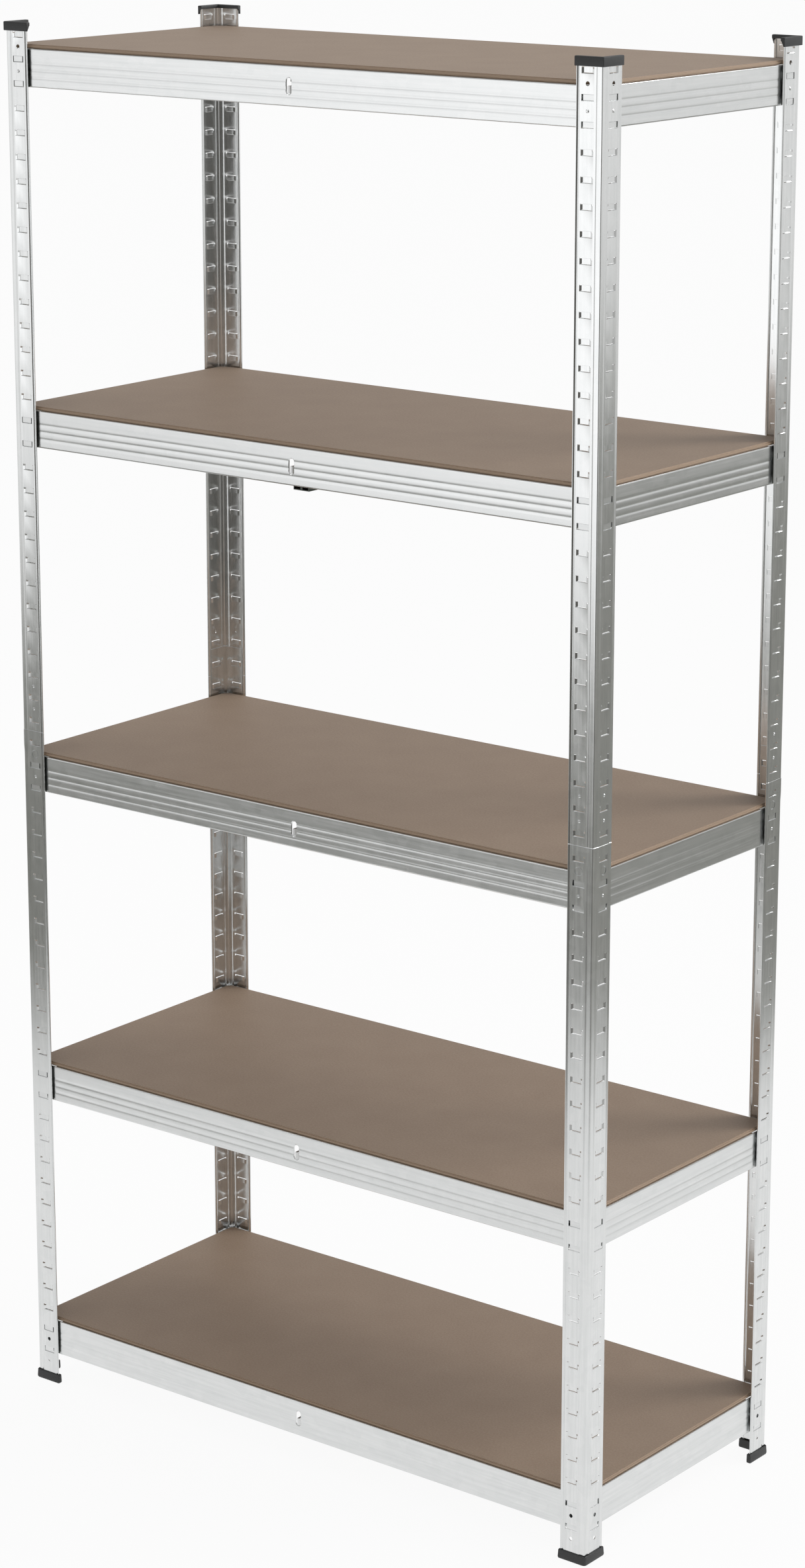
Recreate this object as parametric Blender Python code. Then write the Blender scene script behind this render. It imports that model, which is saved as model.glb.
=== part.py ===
"""Boltless steel shelving: five tiers on four slotted angle posts.

Each post is two upright halves that butt at mid height over an inner splice
angle, with a plastic cap on top and a plastic foot below. Pressed steel beams
hang by lugs in the post slots, a strut joins the long beams of each tier at
mid span, and a loose board lies on the beams' lips.
Metres, +Z up, origin on the floor at the centre of the footprint.
"""

import math

import bmesh
import bpy
from mathutils import Vector

MM = 0.001

# Overall size, measured on the outer faces of the posts
WIDTH = 900 * MM
DEPTH = 400 * MM
HEIGHT = 1800 * MM
GAP = 0.3 * MM

# Upright halves: one folded angle with a raised, slotted band on each flange
FLANGE = 36 * MM
POST_SHEET = 1.0 * MM
BAND_RISE = 1.2 * MM
EDGE_STRIP = 3.0 * MM
CORNER_STRIP = 8.0 * MM
STEP_RUN = 1.2 * MM
SLOT_PITCH = 30 * MM
SLOT_SIDE = 2.8 * MM
SLOT_HEIGHT = 7 * MM
SLOT_END_MARGIN = 5 * MM
PLAIN_END = 16 * MM
PLAIN_FADE = 14 * MM

# Inner splice angle behind each butt joint
SPLICE_SHEET = 0.8 * MM
SPLICE_LENGTH = 74 * MM
SPLICE_EDGE_INSET = 4 * MM

# Plastic caps and feet
PLASTIC_WALL = 1.6 * MM
CAP_TOP = 2.6 * MM
CAP_SKIRT = 11 * MM
CAP_ROUND = 2.0 * MM
FOOT_SOLE = 4 * MM
FOOT_WALL = 12 * MM
FOOT_FLARE = 1.5 * MM
FOOT_FLARE_HEIGHT = 2.5 * MM
FOOT_TUCK = 0.7 * MM
FOOT_ROUND = 4.0 * MM
ROUND_STEPS = 2

# Pressed beams
BEAM_SHEET = 1.0 * MM
BEAM_CORNER_PLAY = 0.6 * MM
BEAM_BOTTOM_EDGE = 0.5 * MM
LIP_WIDTH = 18 * MM
LIP_END_GAP = 4 * MM
TOP_FOLD = 1.6 * MM
RETURN_WIDTH = 8 * MM
GROOVE_DEPTH = 1.8 * MM
GROOVE_HALF = 1.5 * MM
GROOVE_CLEARANCE = 0.2 * MM
GROOVE_PITCH = 8.8 * MM
GROOVE_COUNT = 3

# Lugs on the outer face of each beam end
LUG_COUNT = 2
LUG_SIDE_PLAY = 2 * MM
LUG_TOP_PLAY = 1.7 * MM
TOP_LUG_DROP = 13 * MM

# Centre strut, and the oval slots in the long beams that take its tongues
OVAL_WIDTH = 7 * MM
OVAL_HEIGHT = 19 * MM
OVAL_DROP = 23.7 * MM
OVAL_STEPS = 3
STRUT_WIDTH = 24 * MM
STRUT_HEIGHT = 20 * MM
STRUT_SHEET = 1.0 * MM
TONGUE_HEIGHT = 9 * MM
TONGUE_ROOT = 14 * MM

# Boards
BOARD_THICKNESS = 5 * MM
BOARD_SETBACK = 1.4 * MM
BOARD_BLUNT = 6 * MM

# Tiers, by the post slot that takes each beam's upper lug
BOTTOM_TIER_SLOT = 2
SLOTS_ABOVE_TIER = 2
SECOND_TIER_SHARE = 0.46
FOURTH_TIER_SHARE = 0.5
TURNED_STRUT_TIER = 4

# Derived sizes
POST_DEEP = BAND_RISE + POST_SHEET
HALF_BOTTOM = FOOT_SOLE + GAP
JOINT_HEIGHT = SLOT_PITCH * round(HEIGHT / 2 / SLOT_PITCH)
HALF_TOP = HEIGHT - CAP_TOP - GAP
BAND_LOW = CORNER_STRIP + STEP_RUN
BAND_HIGH = FLANGE - EDGE_STRIP - STEP_RUN
SLOT_LOW = BAND_LOW + SLOT_SIDE
SLOT_HIGH = BAND_HIGH - SLOT_SIDE
SPLICE_FACE = POST_DEEP + GAP
BEAM_FACE = SPLICE_FACE + SPLICE_SHEET + GAP
BEAM_END_INSET = BEAM_FACE + GROOVE_DEPTH + BEAM_SHEET + BEAM_CORNER_PLAY
BEAM_HEIGHT = TOP_LUG_DROP + SLOT_PITCH * (LUG_COUNT - 1) + SLOT_HEIGHT / 2 + BEAM_BOTTOM_EDGE
LUG_HEIGHT = SLOT_HEIGHT - LUG_TOP_PLAY - GAP
GROOVE_FIRST = TOP_LUG_DROP + SLOT_HEIGHT / 2 + GROOVE_HALF + GROOVE_CLEARANCE
TONGUE_WIDTH = OVAL_WIDTH / 2 - GAP
BOARD_INSET = BEAM_FACE + BOARD_SETBACK

CORNERS = (
    ("front_left", -1, -1, 0),
    ("front_right", 1, -1, 90),
    ("back_right", 1, 1, 180),
    ("back_left", -1, 1, 270),
)


def slot_centre(number):
    """Height of the centre of a post slot, counted up from the floor."""
    return SLOT_PITCH * (number + 0.5)


def tier_slots():
    """Slot numbers of the five tiers, bottom to top."""
    bottom = BOTTOM_TIER_SLOT
    middle = round(JOINT_HEIGHT / SLOT_PITCH) - SLOTS_ABOVE_TIER
    top = round(HEIGHT / SLOT_PITCH) - SLOTS_ABOVE_TIER
    second = bottom + round((middle - bottom) * SECOND_TIER_SHARE)
    fourth = middle + round((top - middle) * FOURTH_TIER_SHARE)
    return bottom, second, middle, fourth, top


def tier_height(slot_number):
    """Height of the beam lips whose upper lug sits in the given slot."""
    return slot_centre(slot_number) + TOP_LUG_DROP


def clear_scene():
    for item in list(bpy.data.objects):
        bpy.data.objects.remove(item, do_unlink=True)


def make_material(name, colour, roughness, metallic):
    material = bpy.data.materials.new(name)
    material.use_nodes = True
    shader = material.node_tree.nodes["Principled BSDF"]
    shader.inputs["Base Color"].default_value = (*colour, 1.0)
    shader.inputs["Roughness"].default_value = roughness
    shader.inputs["Metallic"].default_value = metallic
    return material


def mesh_from(builder, name):
    """Run a bmesh builder and return its mesh with the faces turned outward."""
    shape = bmesh.new()
    builder(shape)
    bmesh.ops.recalc_face_normals(shape, faces=shape.faces)
    mesh = bpy.data.meshes.new(name)
    shape.to_mesh(mesh)
    shape.free()
    return mesh


def add_object(name, mesh, material, place, turn=0.0, tip=0.0):
    """Place one sub-part: turned about Z by turn and about its own Y by tip, in degrees."""
    item = bpy.data.objects.new(name, mesh.copy())
    item.data.materials.append(material)
    item.location = place
    item.rotation_euler = (0.0, math.radians(tip), math.radians(turn))
    bpy.context.collection.objects.link(item)
    return item


def prism(shape, outline, low, high, axis):
    """Extrude a closed outline of (a, b) points along one axis, from low to high."""
    def point(a, b, along):
        if axis == "X":
            return Vector((along, a, b))
        if axis == "Y":
            return Vector((a, along, b))
        return Vector((a, b, along))

    near = [shape.verts.new(point(a, b, low)) for a, b in outline]
    far = [shape.verts.new(point(a, b, high)) for a, b in outline]
    shape.faces.new(near)
    shape.faces.new(far)
    count = len(outline)
    for i in range(count):
        j = (i + 1) % count
        shape.faces.new((near[i], near[j], far[j], far[i]))


def tool_object(name, mesh):
    """A mesh in the scene for a Boolean to use."""
    item = bpy.data.objects.new(name, mesh)
    item.hide_render = True
    item.display_type = "WIRE"
    bpy.context.collection.objects.link(item)
    return item


def prism_object(name, outline, low, high, axis):
    """A prism in the scene for a Boolean to use."""
    return tool_object(name, mesh_from(lambda shape: prism(shape, outline, low, high, axis), name))


def combine(base, others):
    """Apply Booleans to a base object, then drop every tool and keep the mesh."""
    for operation, tool in others:
        modifier = base.modifiers.new(tool.name, "BOOLEAN")
        modifier.operation = operation
        modifier.solver = "EXACT"
        modifier.object = tool
    graph = bpy.context.evaluated_depsgraph_get()
    mesh = bpy.data.meshes.new_from_object(base.evaluated_get(graph))
    for item in [base] + [tool for _, tool in others]:
        bpy.data.objects.remove(item, do_unlink=True)
    return mesh


# Uprights

def upright_stations(groove):
    """Outer and inner points of the folded angle, from one free edge to the other."""
    flange = (
        (FLANGE, BAND_RISE),
        (FLANGE - EDGE_STRIP, BAND_RISE),
        (BAND_HIGH, 0.0),
        (SLOT_HIGH, 0.0),
        (SLOT_LOW, 0.0),
        (BAND_LOW, 0.0),
        (CORNER_STRIP, groove),
    )
    first_outer = [(along, sunk) for along, sunk in flange]
    first_inner = [(along, sunk + POST_SHEET) for along, sunk in flange]
    corner_inner = groove + POST_SHEET
    outer = first_outer + [(groove, groove)] + [(b, a) for a, b in reversed(first_outer)]
    inner = first_inner + [(corner_inner, corner_inner)] + [(b, a) for a, b in reversed(first_inner)]
    return outer, inner


def build_upright(shape, bottom, top, plain_top):
    """One upright half, slotted on a pitch counted from the floor, its top corner plain if asked."""
    stations = len(upright_stations(BAND_RISE)[0])
    middle = stations // 2
    slot_strips = (3, stations - 5)
    slot_edges = (3, 4, stations - 5, stations - 4)
    groove_stations = range(middle - 2, middle + 3)

    lowest = max(bottom, FOOT_WALL) + SLOT_END_MARGIN
    highest = top - SLOT_END_MARGIN
    slot_levels = []
    for number in range(round(HEIGHT / SLOT_PITCH)):
        low = slot_centre(number) - SLOT_HEIGHT / 2
        high = slot_centre(number) + SLOT_HEIGHT / 2
        if low >= lowest and high <= highest:
            slot_levels += [low, high]

    def levels_at(station):
        if station in slot_edges:
            return [bottom] + slot_levels + [top]
        if plain_top and station in groove_stations:
            return [bottom, top - PLAIN_END - PLAIN_FADE, top - PLAIN_END, top]
        return [bottom, top]

    def groove_at(z):
        plain = plain_top and z > top - PLAIN_END - PLAIN_FADE / 2
        return 0.0 if plain else BAND_RISE

    rows = {}
    for station in range(stations):
        for z in levels_at(station):
            outer, inner = upright_stations(groove_at(z))
            for side, points in enumerate((outer, inner)):
                a, b = points[station]
                rows[station, side, z] = shape.verts.new((a, b, z))

    def strip(station, side, low, high):
        left = [rows[station, side, z] for z in levels_at(station) if low <= z <= high]
        right = [rows[station + 1, side, z] for z in levels_at(station + 1) if low <= z <= high]
        if len(left) == len(right):
            for i in range(len(left) - 1):
                shape.faces.new((left[i], right[i], right[i + 1], left[i + 1]))
            return
        loop = left + right[::-1]
        face = shape.faces.new(loop)
        bmesh.ops.triangulate(shape, faces=[face])

    for station in range(stations - 1):
        for side in (0, 1):
            if station not in slot_strips:
                strip(station, side, bottom, top)
                continue
            ends = [bottom] + slot_levels + [top]
            for low, high in zip(ends[0::2], ends[1::2]):
                strip(station, side, low, high)

    for station in slot_strips:
        for low, high in zip(slot_levels[0::2], slot_levels[1::2]):
            ring = ((station, low), (station + 1, low), (station + 1, high), (station, high))
            for (s1, z1), (s2, z2) in zip(ring, ring[1:] + ring[:1]):
                corners = (rows[s1, 0, z1], rows[s2, 0, z2], rows[s2, 1, z2], rows[s1, 1, z1])
                shape.faces.new(corners)

    for z in (bottom, top):
        for s in range(stations - 1):
            shape.faces.new((rows[s, 0, z], rows[s + 1, 0, z], rows[s + 1, 1, z], rows[s, 1, z]))
    for s in (0, stations - 1):
        shape.faces.new((rows[s, 0, bottom], rows[s, 0, top], rows[s, 1, top], rows[s, 1, bottom]))


# Splices, caps and feet

def build_splice(shape):
    """Plain angle that bridges the two halves from inside."""
    far = FLANGE - SPLICE_EDGE_INSET
    near = SPLICE_FACE
    back = SPLICE_FACE + SPLICE_SHEET
    outline = ((near, near), (far, near), (far, back), (back, back), (back, far), (near, far))
    prism(shape, outline, JOINT_HEIGHT - SPLICE_LENGTH / 2, JOINT_HEIGHT + SPLICE_LENGTH / 2, "Z")


def angle_outline(outside, end, inside, rounding):
    """L outline round a post: outside wall offset, flange end, inside wall and corner radius."""
    points = []
    for i in range(ROUND_STEPS + 1):
        angle = math.pi + (math.pi / 2) * i / ROUND_STEPS
        x = -outside + rounding + rounding * math.cos(angle)
        y = -outside + rounding + rounding * math.sin(angle)
        points.append((x, y))
    points += [(end, -outside), (end, inside), (inside, inside), (inside, end), (-outside, end)]
    return points


def skin(shape, loops):
    """Join outlines of equal length, given with their heights, and close both ends."""
    rings = []
    for outline, z in loops:
        rings.append([shape.verts.new((x, y, z)) for x, y in outline])
    for low, high in zip(rings, rings[1:]):
        count = len(low)
        for i in range(count):
            j = (i + 1) % count
            shape.faces.new((low[i], low[j], high[j], high[i]))
    shape.faces.new(rings[0])
    shape.faces.new(rings[-1])


def pocket_outline():
    return angle_outline(GAP, FLANGE + GAP, SPLICE_FACE, GAP)


def shoe_outline(swell, rounding):
    wall = PLASTIC_WALL + swell
    return angle_outline(GAP + wall, FLANGE + GAP + wall, SPLICE_FACE + PLASTIC_WALL, rounding)


def build_cap(shape):
    """Plastic cap over the top of a post, pocket side down."""
    outer = shoe_outline(0.0, CAP_ROUND)
    skin(shape, (
        (outer, HEIGHT),
        (outer, HEIGHT - CAP_SKIRT),
        (pocket_outline(), HEIGHT - CAP_SKIRT),
        (pocket_outline(), HEIGHT - CAP_TOP),
    ))


def build_foot(shape):
    """Plastic foot with a flared, tucked-under sole."""
    skin(shape, (
        (shoe_outline(FOOT_FLARE - FOOT_TUCK, FOOT_ROUND), 0.0),
        (shoe_outline(FOOT_FLARE, FOOT_ROUND), FOOT_FLARE_HEIGHT),
        (shoe_outline(0.0, FOOT_ROUND), FOOT_WALL),
        (pocket_outline(), FOOT_WALL),
        (pocket_outline(), FOOT_SOLE),
    ))


# Beams

def beam_section():
    """Outer and inner points of the beam's sheet as (inward, height), from return to lip."""
    face = BEAM_FACE
    outer = [(face + RETURN_WIDTH, -BEAM_HEIGHT), (face, -BEAM_HEIGHT)]
    for groove in reversed(range(GROOVE_COUNT)):
        z = -(GROOVE_FIRST + GROOVE_PITCH * groove)
        outer += [(face, z - GROOVE_HALF), (face + GROOVE_DEPTH, z), (face, z + GROOVE_HALF)]
    outer += [(face, -TOP_FOLD), (face + TOP_FOLD, 0.0), (face + LIP_WIDTH, 0.0)]
    inner = [(n + BEAM_SHEET, z) for n, z in outer]
    inner[0] = (face + RETURN_WIDTH, -BEAM_HEIGHT + BEAM_SHEET)
    inner[1] = (face + BEAM_SHEET, -BEAM_HEIGHT + BEAM_SHEET)
    inner[-2] = (face + TOP_FOLD + BEAM_SHEET / 2, -BEAM_SHEET)
    inner[-1] = (face + LIP_WIDTH, -BEAM_SHEET)
    return outer, inner


def build_beam(shape, span):
    """Folded sheet along X: the web runs behind the posts, the lip and return stop short of them."""
    outer, inner = beam_section()
    strips = len(outer) - 1
    web_end = span / 2 - BEAM_END_INSET
    lip_end = span / 2 - FLANGE - LIP_END_GAP
    ends = [web_end] * strips
    ends[0] = lip_end
    ends[-1] = lip_end
    rows = {}
    for station in range(strips + 1):
        for end in set(ends[max(station - 1, 0):station + 1]):
            for side, (n, z) in enumerate((outer[station], inner[station])):
                for x in (-end, end):
                    rows[station, side, x] = shape.verts.new((x, n, z))

    def levels(station, end):
        return sorted(x for s, side, x in rows if s == station and side == 0 and abs(x) <= end)

    for strip in range(strips):
        end = ends[strip]
        for side in (0, 1):
            left = [rows[strip, side, x] for x in levels(strip, end)]
            right = [rows[strip + 1, side, x] for x in levels(strip + 1, end)]
            shape.faces.new(left + right[::-1])
        for x in (-end, end):
            edge = (rows[strip, 0, x], rows[strip + 1, 0, x], rows[strip + 1, 1, x], rows[strip, 1, x])
            shape.faces.new(edge)
    for station in (0, strips):
        far = lip_end
        shape.faces.new((rows[station, 0, -far], rows[station, 0, far],
                         rows[station, 1, far], rows[station, 1, -far]))
    for station in (1, strips - 1):
        for side in (-1, 1):
            near, far = side * lip_end, side * web_end
            shape.faces.new((rows[station, 0, near], rows[station, 0, far],
                             rows[station, 1, far], rows[station, 1, near]))


def lug_heights():
    """Lower and upper edge of each lug below the lip, seated on its slot's lower edge."""
    for i in range(LUG_COUNT):
        low = -TOP_LUG_DROP - SLOT_PITCH * i - SLOT_HEIGHT / 2 + GAP
        yield low, low + LUG_HEIGHT


def beam_mesh(name, span, has_oval):
    """A beam along X with lugs at both ends, its outer face towards -Y."""
    base = tool_object(name, mesh_from(lambda shape: build_beam(shape, span), name))
    tools = []
    lug_back = BEAM_FACE + BEAM_SHEET / 2
    lug_near = span / 2 - SLOT_LOW - LUG_SIDE_PLAY
    lug_far = span / 2 - SLOT_HIGH + LUG_SIDE_PLAY
    for side in (-1, 1):
        left, right = sorted((side * lug_near, side * lug_far))
        plan = ((left, GAP), (right, GAP), (right, lug_back), (left, lug_back))
        for low, high in lug_heights():
            tools.append(("UNION", prism_object(name + "_lug", plan, low, high, "Z")))
    if has_oval:
        deep = BEAM_FACE + GROOVE_DEPTH + BEAM_SHEET * 2
        tools.append(("DIFFERENCE", prism_object(name + "_oval", oval_outline(), 0.0, deep, "Y")))
    return combine(base, tools)


def oval_outline():
    """Upright oval with half-round ends, as (x, height) points."""
    radius = OVAL_WIDTH / 2
    straight = OVAL_HEIGHT / 2 - radius
    points = []
    for end, start in ((1, 0.0), (-1, math.pi)):
        for i in range(OVAL_STEPS + 1):
            angle = start + math.pi * i / OVAL_STEPS
            z = -OVAL_DROP + end * straight + radius * math.sin(angle)
            points.append((radius * math.cos(angle), z))
    return points


# Struts and boards

def strut_tongue_height():
    """Centre of a strut's tongue below the beam lips, seated on the oval slot's flat lower end."""
    seat = min(z for _, z in oval_outline())
    return seat + GAP + TONGUE_HEIGHT / 2


def strut_mesh():
    """Channel along Y, open below, with a tongue blade at each end; its origin is on the tongues."""
    top = -GAP - strut_tongue_height()
    low = top - STRUT_HEIGHT
    half = STRUT_WIDTH / 2
    legs = half - STRUT_SHEET
    under = top - STRUT_SHEET
    reach = DEPTH / 2 - BEAM_FACE - LIP_WIDTH - GAP
    section = ((-half, low), (-half, top), (half, top), (half, low),
               (legs, low), (legs, under), (-legs, under), (-legs, low))
    base = prism_object("strut", section, -reach, reach, "Y")
    blade_top = top - STRUT_SHEET / 2
    blade_half = TONGUE_WIDTH / 2
    tongue = TONGUE_HEIGHT / 2
    tools = []
    for side in (-1, 1):
        root = side * (reach - TONGUE_ROOT)
        shoulder = side * (reach - GAP)
        tip = side * (DEPTH / 2 - BEAM_FACE)
        blade = ((root, blade_top), (shoulder, blade_top), (shoulder, tongue),
                 (tip, tongue), (tip, -tongue), (root, -tongue))
        tools.append(("UNION", prism_object("strut_blade", blade, -blade_half, blade_half, "X")))
    return combine(base, tools)


def build_board(shape):
    """Board with blunted corners, resting face at height zero."""
    x = WIDTH / 2 - BOARD_INSET
    y = DEPTH / 2 - BOARD_INSET
    cut = BOARD_BLUNT
    outline = ((-x + cut, -y), (x - cut, -y), (x, -y + cut), (x, y - cut),
               (x - cut, y), (-x + cut, y), (-x, y - cut), (-x, -y + cut))
    prism(shape, outline, 0.0, BOARD_THICKNESS, "Z")


def build_posts(steel, plastic):
    lower = mesh_from(lambda s: build_upright(s, HALF_BOTTOM, JOINT_HEIGHT - GAP / 2, True), "lower")
    upper = mesh_from(lambda s: build_upright(s, JOINT_HEIGHT + GAP / 2, HALF_TOP, False), "upper")
    splice = mesh_from(build_splice, "splice")
    cap = mesh_from(build_cap, "cap")
    foot = mesh_from(build_foot, "foot")
    for corner, side_x, side_y, turn in CORNERS:
        place = (side_x * WIDTH / 2, side_y * DEPTH / 2, 0.0)
        add_object("upright_lower_" + corner, lower, steel["upright"], place, turn)
        add_object("upright_upper_" + corner, upper, steel["upright"], place, turn)
        add_object("splice_" + corner, splice, steel["splice"], place, turn)
        add_object("cap_" + corner, cap, plastic, place, turn)
        add_object("foot_" + corner, foot, plastic, place, turn)


def build_tiers(steel, board_material):
    long_beam = beam_mesh("long_beam", WIDTH, True)
    short_beam = beam_mesh("short_beam", DEPTH, False)
    strut = strut_mesh()
    board = mesh_from(build_board, "board")
    tongue = strut_tongue_height()
    for tier, slot in enumerate(tier_slots(), start=1):
        z = tier_height(slot)
        label = "_" + str(tier)
        add_object("beam_front" + label, long_beam, steel["beam"], (0.0, -DEPTH / 2, z), 0)
        add_object("beam_back" + label, long_beam, steel["beam"], (0.0, DEPTH / 2, z), 180)
        add_object("beam_right" + label, short_beam, steel["beam"], (WIDTH / 2, 0.0, z), 90)
        add_object("beam_left" + label, short_beam, steel["beam"], (-WIDTH / 2, 0.0, z), 270)
        tip = 180 if tier == TURNED_STRUT_TIER else 0
        add_object("strut" + label, strut, steel["strut"], (0.0, 0.0, z + tongue), 0, tip)
        add_object("board" + label, board, board_material, (0.0, 0.0, z + GAP))


def main():
    clear_scene()
    steel = {
        "upright": make_material("galvanised_upright", (0.55, 0.56, 0.56), 0.38, 1.0),
        "splice": make_material("galvanised_splice", (0.50, 0.51, 0.51), 0.42, 1.0),
        "beam": make_material("galvanised_beam", (0.58, 0.59, 0.59), 0.36, 1.0),
        "strut": make_material("galvanised_strut", (0.50, 0.51, 0.51), 0.42, 1.0),
    }
    plastic = make_material("black_plastic", (0.015, 0.015, 0.016), 0.5, 0.0)
    hardboard = make_material("hardboard", (0.27, 0.21, 0.17), 0.7, 0.0)
    build_posts(steel, plastic)
    build_tiers(steel, hardboard)


main()
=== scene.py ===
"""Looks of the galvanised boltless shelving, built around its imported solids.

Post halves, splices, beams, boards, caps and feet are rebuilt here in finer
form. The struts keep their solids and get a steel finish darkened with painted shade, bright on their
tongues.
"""

import math

import bmesh
import bpy
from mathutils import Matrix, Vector


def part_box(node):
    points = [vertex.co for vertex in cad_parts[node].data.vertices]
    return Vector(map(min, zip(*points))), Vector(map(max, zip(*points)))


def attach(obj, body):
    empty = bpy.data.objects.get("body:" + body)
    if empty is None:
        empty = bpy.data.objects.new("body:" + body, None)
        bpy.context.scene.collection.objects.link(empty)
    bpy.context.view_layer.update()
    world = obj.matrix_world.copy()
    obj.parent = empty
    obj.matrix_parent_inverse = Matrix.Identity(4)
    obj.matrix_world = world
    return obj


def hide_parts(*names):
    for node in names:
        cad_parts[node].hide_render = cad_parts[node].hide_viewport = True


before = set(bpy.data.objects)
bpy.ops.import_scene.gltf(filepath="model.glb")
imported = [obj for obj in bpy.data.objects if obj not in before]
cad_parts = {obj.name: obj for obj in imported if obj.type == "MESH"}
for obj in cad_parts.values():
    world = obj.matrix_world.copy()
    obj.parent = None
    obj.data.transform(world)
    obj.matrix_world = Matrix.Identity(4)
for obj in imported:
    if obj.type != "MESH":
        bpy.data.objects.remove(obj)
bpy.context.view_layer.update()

MM = 0.001
STEEL_BODY = "frame"
# Corners, and how far a piece made for the front left is turned to fit there
CORNERS = (("front_left", 0), ("front_right", 90), ("back_right", 180), ("back_left", 270))
TIERS = range(1, 6)

# Places read from the solids
post_low, post_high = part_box("upright_lower_front_left")
upper_low, upper_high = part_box("upright_upper_front_left")
HALF_WIDTH = -post_low.x
HALF_DEPTH = -post_low.y
FLANGE = post_high.x - post_low.x
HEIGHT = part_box("cap_front_left")[1].z
LIP_HEIGHTS = [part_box(f"beam_front_{tier}")[1].z for tier in TIERS]

# Post sheet
POST_SHEET = 1.0 * MM
BAND_RISE = 1.2 * MM
EDGE_STRIP = 3.0 * MM
EDGE_RIM = 0.6 * MM
CORNER_STRIP = 8.0 * MM
STEP_RUN = 1.2 * MM
FOLD_EASE = 0.6 * MM
CORNER_EASE = 2.2 * MM
CORNER_SINK = 0.6 * MM
CORNER_RUN = 1.7 * MM
BAND_LOW = CORNER_STRIP + STEP_RUN
BAND_HIGH = FLANGE - EDGE_STRIP - STEP_RUN
PLAIN_END = 16 * MM
PLAIN_FADE = 14 * MM
PLAIN_SUNK = 0.4
FADE_ROWS = 4
LIP_FLARE = 0.35 * MM
LIP_HEIGHT = 0.4 * MM

# Post slots, whose sheet is pressed inward as a strap
SLOT_PITCH = 30 * MM
SLOT_HEIGHT = 7 * MM
SLOT_SIDE = 2.8 * MM
SLOT_LOW = BAND_LOW + SLOT_SIDE
SLOT_HIGH = BAND_HIGH - SLOT_SIDE
SLOT_END_MARGIN = 5 * MM
SLOT_SILL = 0.7 * MM
STRAP_PRESS = 1.6 * MM
STRAP_CUT = 0.4 * MM
FREE_NOTCH = 0.9 * MM
ROOT_NOTCH = 2.4 * MM
# Sections of a strap: share of the way from its free end, share of the press,
# and how far it stops below the slot's upper cut
STRAP_SECTIONS = (
    (0.135, 1.0, FREE_NOTCH),
    (0.155, 1.0, STRAP_CUT),
    (0.80, 1.0, STRAP_CUT),
    (0.82, 1.0, STRAP_CUT),
    (0.84, 0.9, ROOT_NOTCH),
)
FOOT_WALL = 12 * MM
TOP_LUG_DROP = 13 * MM
LUG_COUNT = 2

# Small marks midway between slots: place up the post in mm, kind, width in mm
LOWER_MARKS = ((30, "hole", 5.0), (60, "hole", 5.0), (840, "pip", 4.0), (870, "plug", 11.0))
UPPER_MARKS = ((930, "pip", 4.0), (960, "pip", 4.0), (1740, "pip", 4.5), (1770, "hole", 5.5))
MARK_POINTS = 16
MARK_START = math.radians(-135)
PIP_RISE = 0.9 * MM
PIP_TAPER = 0.4
PLUG_SHARE = 0.9
PLUG_FACE = 0.25 * MM

# Splice angles behind the joints, with a window round each strap
SPLICE_SHEET = 0.8 * MM
SPLICE_PLAY = 0.1 * MM
WINDOW_PLAY = 0.5 * MM

# Pressed beams
BEAM_FACE = 3.6 * MM
BEAM_HEIGHT = 47 * MM
BEAM_SHEET = 1.0 * MM
BEAM_END_INSET = 7 * MM
LIP_WIDTH = 18 * MM
LIP_END_GAP = 4 * MM
RETURN_WIDTH = 8 * MM
TOP_EASE = 1.3 * MM
BOTTOM_EASE = 1.4 * MM
FLAT_MARGIN = 0.6 * MM
GROOVE_DROPS = (17.6 * MM, 26.4 * MM, 35.6 * MM)
GROOVE_DEPTH = 0.25 * MM
GROOVE_HALF = 2.4 * MM
RIB_EASE = 1.3 * MM
VALLEY_EASE = 0.9 * MM
LUG_FRONT = 0.7 * MM
LUG_PLAY = 0.4 * MM
LUG_END_GAP = 1.7 * MM
# Strip of painted shade at a beam's end, where the post's flange shades the web: where it starts past
# the post's edge, and its width
LONG_SHADE_STRIP = (0.3 * MM, 3.8 * MM)
SHORT_SHADE_STRIP = (-2.0 * MM, 2.2 * MM)
LUG_RISE = 0.2 * MM
LUG_HEIGHT = 6.5 * MM
OVAL_WIDTH = 7 * MM
OVAL_HEIGHT = 19 * MM
OVAL_DROP = 23.7 * MM
OVAL_STEPS = 12
OVAL_BEVEL = 1.0 * MM

# Boards
BOARD_BLUNT = 6 * MM
BOARD_EASE = 1.4 * MM

# Plastic caps and feet
PLASTIC_GAP = 0.3 * MM
PLASTIC_WALL = 1.6 * MM
PLASTIC_INSIDE = 2.5 * MM
CAP_TOP = 2.6 * MM
CAP_SKIRT = 11 * MM
CAP_INSIDE_SKIRT = 4.5 * MM
CAP_EASE = 1.3 * MM
CAP_ROUND = 0.9 * MM
CAP_BREAK = 0.3 * MM
FOOT_SOLE = 4 * MM
FOOT_FLARE = 0.5 * MM
FOOT_WAIST = 0.6 * FOOT_WALL
FOOT_ROUND = 3.0 * MM
FOOT_BREAK = 0.5 * MM
FOOT_EASE = 4.5 * MM
END_EASE = 1.3 * MM
# Rounded sole, in shares of its round: how far it draws in, and how high that is
SOLE_SECTIONS = ((0.5, 0.0), (0.2, 0.2), (0.05, 0.5), (0.0, 1.0))

# Zinc darkened as painted shade, for the beam ends by the posts and for the struts, and the plain
# bright zinc left on the strut tongues
SHADED_ZINC_DARK = "#565a56"
SHADED_ZINC_LIGHT = "#6c706c"
SHADED_ZINC_GLOSSY = 0.32
SHADED_ZINC_MATT = 0.45
UNSHADED_ZINC = "#eceded"
UNSHADED_FADE = 2 * MM
# Rolling streaks are drawn out along a post, a beam or a strut
ALONG_POST = (1.0, 1.0, 0.04)
ALONG_BEAM = (0.04, 1.0, 1.0)
ALONG_STRUT = (1.0, 0.04, 1.0)

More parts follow.
